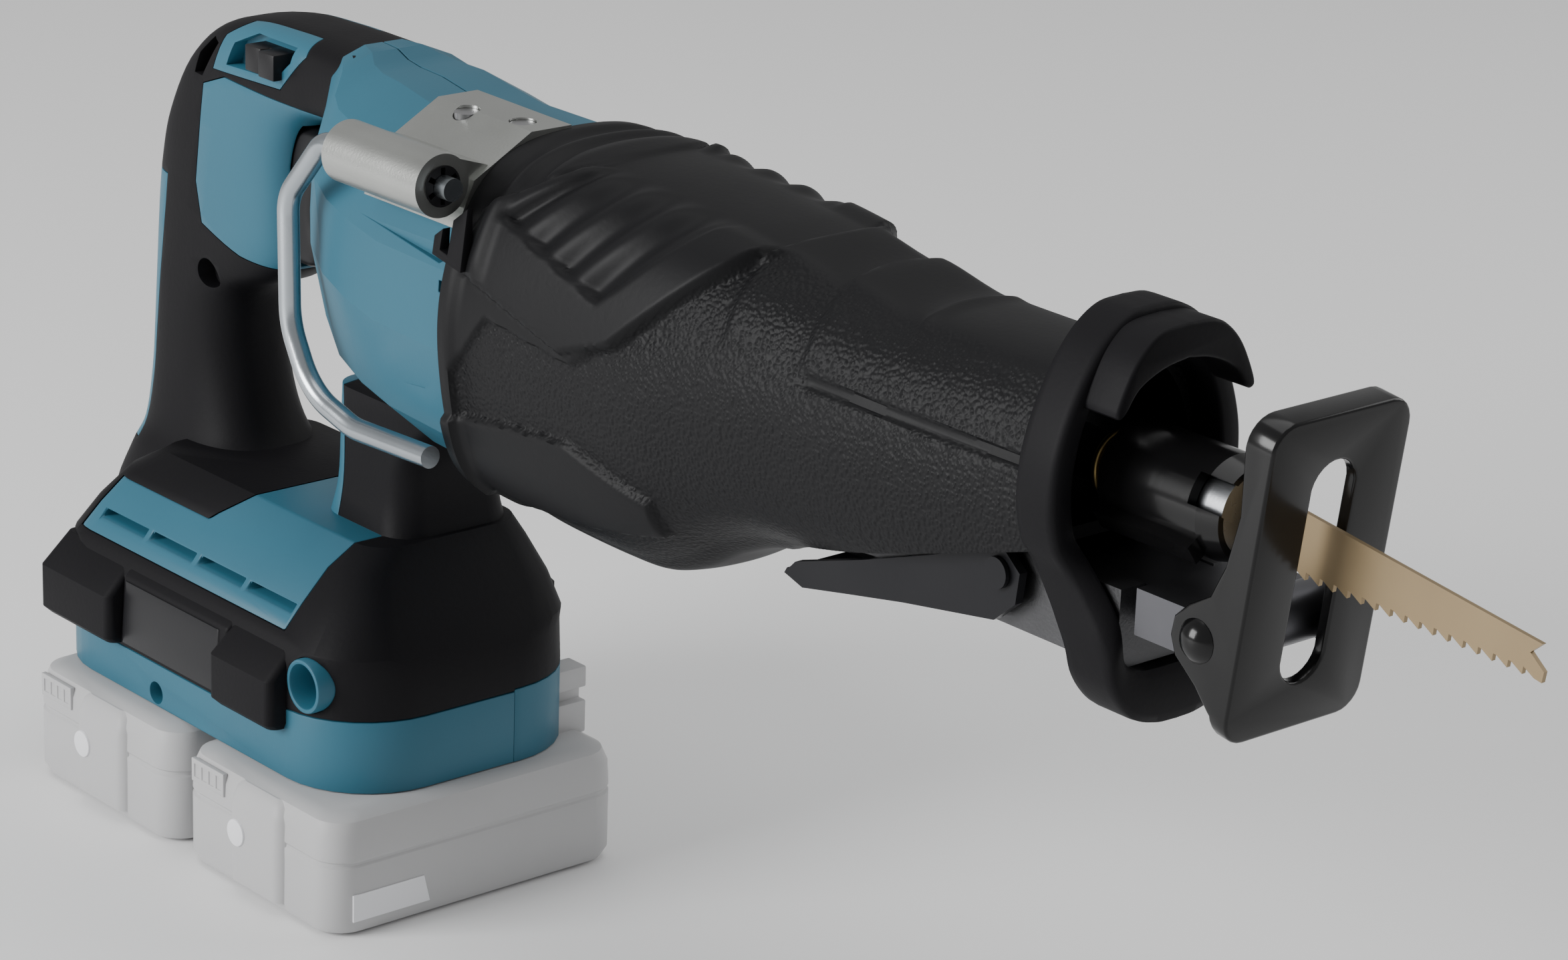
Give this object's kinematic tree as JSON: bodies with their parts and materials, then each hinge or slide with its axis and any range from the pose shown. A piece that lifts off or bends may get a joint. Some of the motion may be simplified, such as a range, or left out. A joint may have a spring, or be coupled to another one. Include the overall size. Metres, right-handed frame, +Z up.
{
  "type": "reciprocating saw",
  "caption": "Cordless reciprocating saw with a pistol-column handle, rubber nose boot, rafter hook, tilting shoe, fitted blade and slide-on battery packs.",
  "frame": {"origin": "on the flat the saw stands on, below the middle of the front battery pack, in the plane where the two housing halves meet", "axes": "+X forward along the blade, +Y to the saw's left, +Z up"},
  "size_m": [0.543, 0.1108, 0.231],
  "materials": {
    "teal_plastic": "satin moulded glass-filled nylon",
    "black_elastomer": "matt moulded elastomer, stippled on the grip areas",
    "black_plastic": "fine satin black plastic",
    "plate": "blank satin label plate",
    "electronics": "green board with potted parts",
    "pack_grey": "pale grey satin plastic",
    "cell": "sleeved steel can",
    "cast_alloy": "die-cast, bead blasted",
    "steel": "ground steel",
    "stator_iron": "laminated iron with lacquered windings",
    "bronze": "sintered bronze",
    "fan_plastic": "moulded nylon",
    "zinc_plated": "bright zinc-plated wire",
    "black_steel": "gloss black lacquer over steel",
    "blade_steel": "tempered bi-metal strip, straw coloured"
  },
  "bodies": {
    "saw": {"housing_right": "teal_plastic", "housing_left": "teal_plastic", "grip_overmould_right": "black_elastomer", "grip_overmould_left": "black_elastomer", "housing_screws": "steel", "side_pad_right": "black_elastomer", "side_pad_left": "black_elastomer", "rating_plate_right": "plate", "rating_plate_left": "plate", "controller": "electronics", "pack_rail_front": "black_plastic", "pack_rail_rear": "black_plastic", "motor_stator": "stator_iron", "rotor_bearings": "steel", "crank_bearings": "steel", "gear_housing": "cast_alloy", "rod_bushings": "bronze", "rod_seal": "black_elastomer", "rubber_boot": "black_elastomer", "shoe_lock_pin": "steel", "lever_pins": "black_steel", "hook_bracket": "cast_alloy", "bracket_screws": "steel", "hook_detent": "black_plastic", "trigger_switch": "black_plastic"},
    "rotor": {"rotor_core": "steel", "rotor_shaft": "steel", "cooling_fan": "fan_plastic", "pinion": "steel"},
    "crank": {"crank_gear": "steel", "crank_shaft": "steel", "crank_pin": "steel", "counterweight": "steel"},
    "ram": {"yoke": "steel", "yoke_roller": "steel", "reciprocating_rod": "steel", "clamp_body": "steel", "clamp_pin": "steel", "clamp_spring": "steel", "blade": "blade_steel"},
    "clamp_ring": {"clamp_sleeve": "black_steel"},
    "carriage": {"shoe_carriage": "steel"},
    "shoe": {"shoe_plate": "black_steel", "shoe_pivot_pin": "black_steel"},
    "lever": {"shoe_lever": "black_steel"},
    "hook": {"hook_wire": "zinc_plated"},
    "trigger": {"trigger": "black_plastic"},
    "lock_off": {"lock_off_button": "black_plastic"},
    "pack_front": {"pack_case_front": "pack_grey", "pack_cells_front": "cell"},
    "pack_rear": {"pack_case_rear": "pack_grey", "pack_cells_rear": "cell"},
    "latch_front": {"pack_latch_front": "pack_grey"},
    "latch_rear": {"pack_latch_rear": "pack_grey"}
  },
  "joints": [
    {"name": "crank_spin", "type": "hinge", "parent": "saw", "child": "crank", "pos_m": [0.112, 0, 0.171], "axis": [0, 0, 1], "continuous": true},
    {"name": "rotor_spin", "type": "hinge", "parent": "saw", "child": "rotor", "pos_m": [0, 0, 0.171], "axis": [1, 0, 0], "continuous": true},
    {"name": "rod_slide", "type": "slide", "parent": "saw", "child": "ram", "axis": [1, 0, 0], "range_m": [-0.022, 0.01]},
    {"name": "clamp_twist", "type": "hinge", "parent": "ram", "child": "clamp_ring", "pos_m": [0.285, 0, 0.191], "axis": [1, 0, 0], "range_deg": [0, 60], "stiffness_Nm_per_rad": 0.12, "springref_deg": -20.05},
    {"name": "shoe_slide", "type": "slide", "parent": "saw", "child": "carriage", "axis": [1, 0, 0], "range_m": [0, 0.03]},
    {"name": "shoe_tilt", "type": "hinge", "parent": "carriage", "child": "shoe", "pos_m": [0.312, 0, 0.167], "axis": [0, 1, 0], "range_deg": [-5, 35]},
    {"name": "lever_pull", "type": "hinge", "parent": "saw", "child": "lever", "pos_m": [0.248, 0, 0.1645], "axis": [0, -1, 0], "range_deg": [0, 40], "stiffness_Nm_per_rad": 0.15, "springref_deg": -28.65},
    {"name": "hook_swing", "type": "hinge", "parent": "saw", "child": "hook", "pos_m": [0.03, -0.0465, 0.218], "axis": [-1, 0, 0], "range_deg": [0, 180]},
    {"name": "trigger_pull", "type": "slide", "parent": "saw", "child": "trigger", "axis": [-1, 0, 0], "range_m": [0, 0.007], "stiffness_N_per_m": 700, "springref_m": -0.004},
    {"name": "lock_off_push", "type": "slide", "parent": "saw", "child": "lock_off", "axis": [0, 1, 0], "range_m": [0, 0.004]},
    {"name": "pack_front_slide", "type": "slide", "parent": "saw", "child": "pack_front", "axis": [0, 1, 0], "range_m": [0, 0.11]},
    {"name": "pack_rear_slide", "type": "slide", "parent": "saw", "child": "pack_rear", "axis": [0, 1, 0], "range_m": [0, 0.11]},
    {"name": "latch_front_press", "type": "slide", "parent": "pack_front", "child": "latch_front", "axis": [0, 0, -1], "range_m": [0, 0.003], "stiffness_N_per_m": 800, "springref_m": -0.002},
    {"name": "latch_rear_press", "type": "slide", "parent": "pack_rear", "child": "latch_rear", "axis": [0, 0, -1], "range_m": [0, 0.003], "stiffness_N_per_m": 800, "springref_m": -0.002}
  ],
  "couplings": [
    {"joint": "rotor_spin", "follows": "crank_spin", "ratio": -4}
  ]
}
